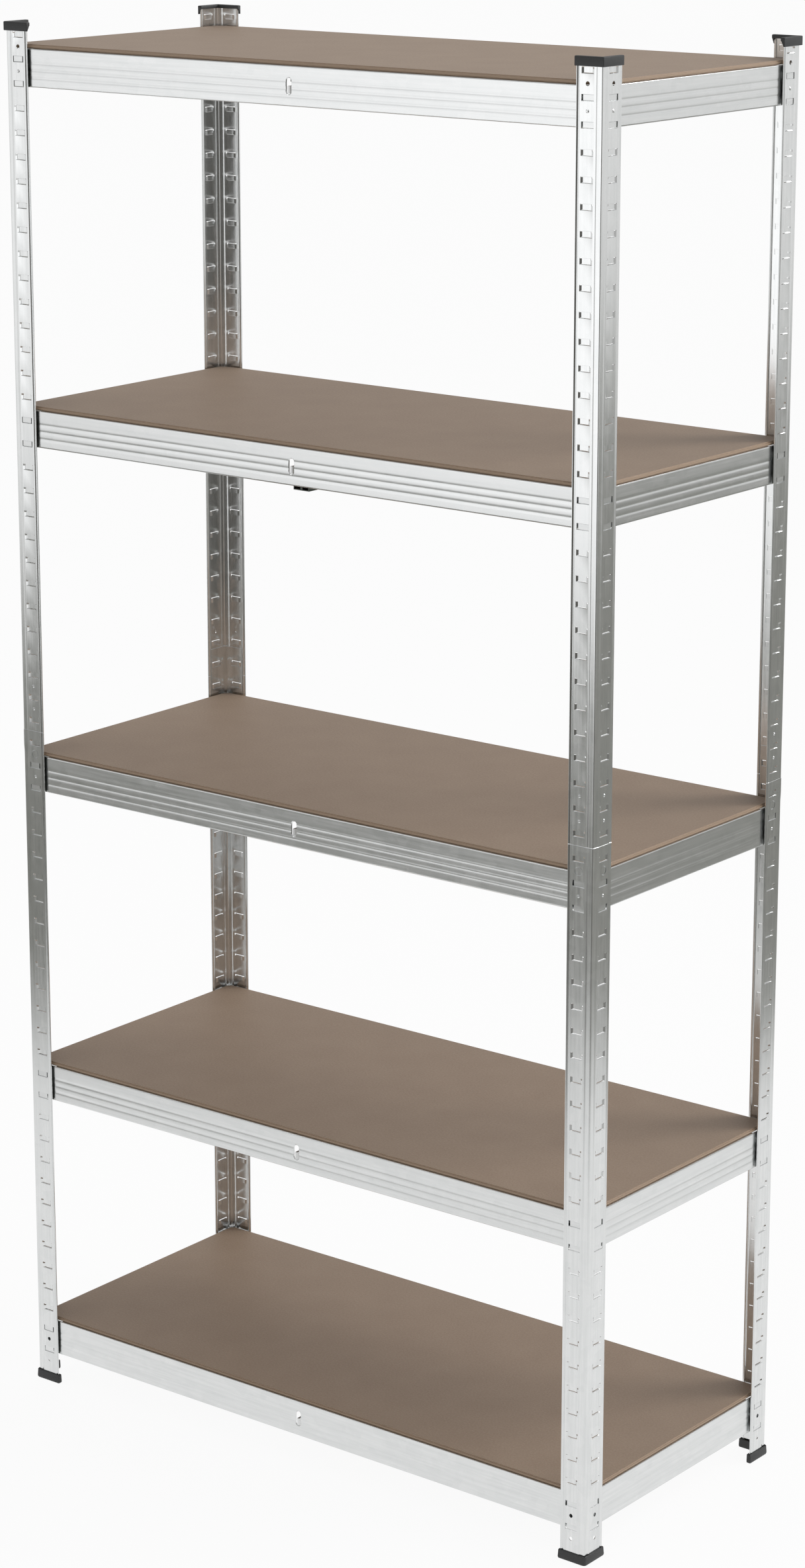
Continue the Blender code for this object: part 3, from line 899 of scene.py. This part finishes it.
def loft(shape, loops, inside_lift=0.0):
    """Join outlines of equal length and close both ends; low rings may rise on the inside."""
    rings = []
    for outline, z in loops:
        ring = []
        for a, b in outline:
            share = min(max(min(a, b) / PLASTIC_INSIDE, 0.0), 1.0)
            lift = inside_lift * share if z < HEIGHT - CAP_INSIDE_SKIRT else 0.0
            ring.append(shape.verts.new((a, b, z + lift)))
        rings.append(ring)
    for low, high in zip(rings, rings[1:]):
        for i in range(len(low)):
            j = (i + 1) % len(low)
            shape.faces.new((low[i], low[j], high[j], high[i]))
    shape.faces.new(rings[0])
    shape.faces.new(rings[-1])


def make_plastics(material):
    pocket = shoe_outline(0.0, PLASTIC_GAP, PLASTIC_INSIDE)

    def skin(swell, ease):
        """Outer wall, swollen outward all round or drawn in on both faces."""
        inside = PLASTIC_INSIDE + PLASTIC_WALL + min(swell, 0.0)
        return shoe_outline(PLASTIC_WALL + swell, ease, inside)

    cap_bottom = HEIGHT - CAP_SKIRT
    shape = bmesh.new()
    loft(shape, (
        (skin(-CAP_ROUND, CAP_EASE), HEIGHT),
        (skin(-0.3 * CAP_ROUND, CAP_EASE), HEIGHT - 0.3 * CAP_ROUND),
        (skin(0.0, CAP_EASE), HEIGHT - CAP_ROUND),
        (skin(0.0, CAP_EASE), cap_bottom + CAP_BREAK),
        (skin(-CAP_BREAK, CAP_EASE), cap_bottom),
        (pocket, cap_bottom),
        (pocket, HEIGHT - CAP_TOP),
    ), CAP_SKIRT - CAP_INSIDE_SKIRT)
    cap = finished_mesh(shape, "post_cap", material)
    sole = []
    for drawn, height in SOLE_SECTIONS:
        sole.append((skin(FOOT_FLARE - drawn * FOOT_ROUND, FOOT_EASE), height * FOOT_ROUND))
    shape = bmesh.new()
    loft(shape, (
        *sole,
        (skin(0.5 * FOOT_FLARE, FOOT_EASE), FOOT_WAIST),
        (skin(0.0, FOOT_EASE), FOOT_WALL - FOOT_BREAK),
        (skin(-FOOT_BREAK, FOOT_EASE), FOOT_WALL),
        (pocket, FOOT_WALL),
        (pocket, FOOT_SOLE),
    ))
    foot = finished_mesh(shape, "post_foot", material)
    for corner, turn in CORNERS:
        place = corner_place(corner)
        add_piece(f"post_cap_{corner}", cap, place, turn, STEEL_BODY, "plastic", f"cap_{corner}")
        add_piece(f"post_foot_{corner}", foot, place, turn, STEEL_BODY, "plastic", f"foot_{corner}")


# Stage

WHITE = linear("#ffffff")
PAPER = linear("#e7e7e7")
MIDDLE = (0.0, 0.0, 0.9)

# Headings from the object, and how squarely they are faced where they begin and where they are full
LENS_SIDE = ((0.617, -0.787, 0.0), 0.7, 0.9)
FAR_RIGHT = ((0.617, 0.787, 0.0), -0.3, 0.6)
FAR_LEFT = ((-1.0, 0.0, 0.0), 0.55, 0.8)

# What the steel mirrors, where a level of 1 is the white that the eye sees
NEAR_LEVEL = 0.82
FRONT_LEVEL = 1.3
LEFT_LEVEL = 0.75
RIGHT_FLOOR_LEVEL = 0.75
RIGHT_WALL_LEVEL = 0.8
LENS_ROOM_LEVEL = 0.095
CEILING_LEVEL = 0.45
RING_FRONT = linear("#72726c")
RING_RIGHT = linear("#7e7e78")
LENS_FLOOR = linear("#52504b")

# Floor in metres: the edges between its near part, the ring and its far part, the edge of the
# dim floor on the lens side, and what the edges are divided by in front and on the far right
FLOOR_HALF = 40.0
FLOOR_DROP = 0.2 * MM
NEAR_EDGE = (1.6, 2.3)
FAR_EDGE = (4.55, 6.15)
LENS_EDGE = (1.6, 2.6)
NEAR_PULL = (1.0, 0.95)
FAR_PULL = (1.28, 0.7)
FLOOR_GLOW = 0.94

# Rise of a heading at which the ceiling and the top of the fill are full, and the fill's levels
CEILING_RISE = 0.13
FILL_RISE = 0.8
FILL_LOW = 1.85
FILL_HIGH = 0.3
FILL_FRONT = 0.6
FILL_RIGHT = 1.5


def studio_sides(tree, heading):
    """How far a heading points at the room behind the camera, the far right and the far left."""
    sides = []
    for aim, start, end in (LENS_SIDE, FAR_RIGHT, FAR_LEFT):
        facing = node(tree, "ShaderNodeVectorMath", {0: heading, 1: aim}, operation="DOT_PRODUCT")
        share = node(tree, "ShaderNodeMapRange", {
            "Value": facing.outputs["Value"], "From Min": start, "From Max": end},
            interpolation_type="SMOOTHSTEP")
        sides.append(share.outputs["Result"])
    return sides


def mirrored_floor(tree):
    """Colour of the floor in the steel: bright near by and far out, with a darker ring between."""
    place = node(tree, "ShaderNodeTexCoord").outputs["Object"]
    away = node(tree, "ShaderNodeVectorMath", {0: place}, operation="LENGTH").outputs["Value"]
    heading = node(tree, "ShaderNodeVectorMath", {0: place}, operation="NORMALIZE")
    lens_side, far_right, far_left = studio_sides(tree, heading.outputs["Vector"])
    near_pull = node(tree, "ShaderNodeMapRange", {
        "Value": far_right, "To Min": NEAR_PULL[0], "To Max": NEAR_PULL[1]})
    near_reach = node(tree, "ShaderNodeMath", {
        0: away, 1: near_pull.outputs["Result"]}, operation="MULTIPLY")
    near = node(tree, "ShaderNodeMapRange", {
        "Value": near_reach.outputs["Value"], "From Min": NEAR_EDGE[0], "From Max": NEAR_EDGE[1],
        "To Min": NEAR_LEVEL, "To Max": 0.0}, interpolation_type="SMOOTHSTEP")
    spread = node(tree, "ShaderNodeVectorMath", {0: place}, operation="ABSOLUTE")
    spans = node(tree, "ShaderNodeSeparateXYZ", {"Vector": spread.outputs["Vector"]})
    square = node(tree, "ShaderNodeMath", {
        0: spans.outputs["X"], 1: spans.outputs["Y"]}, operation="MAXIMUM")
    far_pull = node(tree, "ShaderNodeMapRange", {
        "Value": far_right, "To Min": FAR_PULL[0], "To Max": FAR_PULL[1]})
    far_reach = node(tree, "ShaderNodeMath", {
        0: square.outputs["Value"], 1: far_pull.outputs["Result"]}, operation="MULTIPLY")
    front_level = node(tree, "ShaderNodeMapRange", {
        "Value": far_left, "To Min": FRONT_LEVEL, "To Max": LEFT_LEVEL})
    far_level = node(tree, "ShaderNodeMix", {
        "Factor": far_right, "A": front_level.outputs["Result"], "B": RIGHT_FLOOR_LEVEL})
    far = node(tree, "ShaderNodeMapRange", {
        "Value": far_reach.outputs["Value"], "From Min": FAR_EDGE[0], "From Max": FAR_EDGE[1],
        "To Max": far_level.outputs["Result"]}, interpolation_type="SMOOTHSTEP")
    bright = node(tree, "ShaderNodeMath", {
        0: near.outputs["Result"], 1: far.outputs["Result"]}, operation="MAXIMUM")
    dark = node(tree, "ShaderNodeMix", {
        "Factor": far_right, "A": RING_FRONT, "B": RING_RIGHT}, data_type="RGBA")
    ring = node(tree, "ShaderNodeMix", {
        "Factor": bright.outputs["Value"], "A": dark.outputs["Result"], "B": WHITE},
        data_type="RGBA", clamp_factor=False)
    beyond = node(tree, "ShaderNodeMapRange", {
        "Value": away, "From Min": LENS_EDGE[0], "From Max": LENS_EDGE[1]})
    unlit = node(tree, "ShaderNodeMath", {
        0: lens_side, 1: beyond.outputs["Result"]}, operation="MULTIPLY")
    mirror = node(tree, "ShaderNodeMix", {
        "Factor": unlit.outputs["Value"], "A": ring.outputs["Result"], "B": LENS_FLOOR},
        data_type="RGBA")
    return mirror.outputs["Result"]


def make_floor():
    """White paper floor: it glows white to the eye, and keeps the object's shadow."""
    half = FLOOR_HALF
    corners = [(-half, -half, 0), (half, -half, 0), (half, half, 0), (-half, half, 0)]
    mesh = bpy.data.meshes.new("floor")
    mesh.from_pydata(corners, [], [(0, 1, 2, 3)])
    floor = bpy.data.objects.new("floor", mesh)
    floor.location.z = -FLOOR_DROP
    bpy.context.collection.objects.link(floor)
    material = bpy.data.materials.new("studio_floor")
    material.use_nodes = True
    tree = material.node_tree
    tree.nodes.clear()
    ray = node(tree, "ShaderNodeLightPath")
    shown = node(tree, "ShaderNodeMix", {
        "Factor": ray.outputs["Is Glossy Ray"], "A": WHITE, "B": mirrored_floor(tree)},
        data_type="RGBA")
    glow = node(tree, "ShaderNodeEmission", {"Color": shown.outputs["Result"], "Strength": 1.0})
    paper = node(tree, "ShaderNodeBsdfDiffuse", {"Color": PAPER})
    direct = node(tree, "ShaderNodeMath", {
        0: ray.outputs["Is Camera Ray"], 1: ray.outputs["Is Glossy Ray"]}, operation="MAXIMUM")
    seen = node(tree, "ShaderNodeMath", {
        0: direct.outputs["Value"], 1: ray.outputs["Is Transmission Ray"]}, operation="MAXIMUM")
    share = node(tree, "ShaderNodeMath", {
        0: seen.outputs["Value"], 1: FLOOR_GLOW}, operation="MULTIPLY")
    surface = node(tree, "ShaderNodeMixShader", {
        0: share.outputs["Value"], 1: paper.outputs[0], 2: glow.outputs[0]})
    node(tree, "ShaderNodeOutputMaterial", {"Surface": surface.outputs[0]})
    mesh.materials.append(material)


def make_world():
    """White to the eye; the steel mirrors a dimmer far right, ceiling and room behind the camera."""
    world = bpy.data.worlds.new("studio")
    bpy.context.scene.world = world
    world.use_nodes = True
    tree = world.node_tree
    tree.nodes.clear()
    ray = node(tree, "ShaderNodeLightPath")
    direction = node(tree, "ShaderNodeTexCoord").outputs["Generated"]
    rise = node(tree, "ShaderNodeSeparateXYZ", {"Vector": direction}).outputs["Z"]
    lens_side, far_right, far_left = studio_sides(tree, direction)
    front = node(tree, "ShaderNodeMapRange", {
        "Value": far_left, "To Min": FRONT_LEVEL, "To Max": LEFT_LEVEL})
    walls = node(tree, "ShaderNodeMix", {
        "Factor": far_right, "A": front.outputs["Result"], "B": RIGHT_WALL_LEVEL})
    room = node(tree, "ShaderNodeMix", {
        "Factor": lens_side, "A": walls.outputs["Result"], "B": LENS_ROOM_LEVEL})
    ceiling = node(tree, "ShaderNodeMapRange", {
        "Value": rise, "From Min": 0.0, "From Max": CEILING_RISE})
    mirror = node(tree, "ShaderNodeMix", {
        "Factor": ceiling.outputs["Result"], "A": room.outputs["Result"], "B": CEILING_LEVEL})
    around = node(tree, "ShaderNodeMapRange", {
        "Value": rise, "From Min": 0.0, "From Max": FILL_RISE,
        "To Min": FILL_LOW, "To Max": FILL_HIGH})
    behind = node(tree, "ShaderNodeMapRange", {
        "Value": far_right, "To Min": FILL_FRONT, "To Max": FILL_RIGHT})
    fill = node(tree, "ShaderNodeMath", {
        0: around.outputs["Result"], 1: behind.outputs["Result"]}, operation="MULTIPLY")
    indirect = node(tree, "ShaderNodeMix", {
        "Factor": ray.outputs["Is Glossy Ray"],
        "A": fill.outputs["Value"], "B": mirror.outputs["Result"]})
    direct = node(tree, "ShaderNodeMath", {
        0: ray.outputs["Is Camera Ray"], 1: ray.outputs["Is Transmission Ray"]}, operation="MAXIMUM")
    level = node(tree, "ShaderNodeMix", {
        "Factor": direct.outputs["Value"], "A": indirect.outputs["Result"], "B": 1.0})
    sky = node(tree, "ShaderNodeBackground", {"Color": WHITE, "Strength": level.outputs["Result"]})
    node(tree, "ShaderNodeOutputWorld", {"Surface": sky.outputs[0]})


def add_softbox(name, place, size, power):
    """Square lamp aimed at the middle of the object, its size in metres and its power in watts."""
    data = bpy.data.lights.new(name, "AREA")
    data.shape = "SQUARE"
    data.size = size
    data.energy = power
    light = bpy.data.objects.new(name, data)
    light.location = place
    light.rotation_euler = (Vector(MIDDLE) - Vector(place)).to_track_quat("-Z", "Y").to_euler()
    bpy.context.collection.objects.link(light)


def make_camera():
    """Camera at the photograph's place, worked out from the post slots and the tier heights."""
    focal_px = 5807.6
    frame_px = 2370
    axis_above_middle_px = 99
    degrees_below_level = 14.263
    degrees_from_back = 38.122
    data = bpy.data.cameras.new("camera")
    data.sensor_width = 36.0
    data.lens = focal_px / frame_px * data.sensor_width
    data.shift_y = -axis_above_middle_px / frame_px
    camera = bpy.data.objects.new("camera", data)
    camera.location = (2.8957, -3.6715, 2.1333)
    tilt = math.radians(90 - degrees_below_level)
    camera.rotation_euler = (tilt, 0.0, math.radians(degrees_from_back))
    bpy.context.collection.objects.link(camera)
    bpy.context.scene.camera = camera


def main():
    bpy.context.scene.view_settings.view_transform = "Standard"
    post_steel = galvanised_steel("galvanised_post", ALONG_POST)
    beam_steel = galvanised_steel("galvanised_beam", ALONG_BEAM, glossy=0.2, matt=0.3)
    # Zinc darkened as painted shade, for the strips at the beam ends by the posts
    beam_end_shade_steel = galvanised_steel(
        "galvanised_painted_shade", ALONG_BEAM, SHADED_ZINC_DARK, SHADED_ZINC_LIGHT, SHADED_ZINC_GLOSSY, SHADED_ZINC_MATT)
    make_posts(post_steel)
    make_splices(post_steel)
    make_beams(beam_steel, beam_end_shade_steel)
    make_boards(hardboard())
    make_plastics(black_plastic())
    # Struts get zinc darkened as painted shade, bright on their tongues
    strut_steel = shaded_strut_steel()
    for tier in TIERS:
        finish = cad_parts[f"strut_{tier}"].data.materials
        finish.clear()
        finish.append(strut_steel)
    make_floor()
    make_world()
    add_softbox("key", place=(-1.1, -1.4, 5.2), size=2.4, power=20)
    add_softbox("rim", place=(2.6, 2.4, 3.8), size=1.8, power=60)
    make_camera()


main()
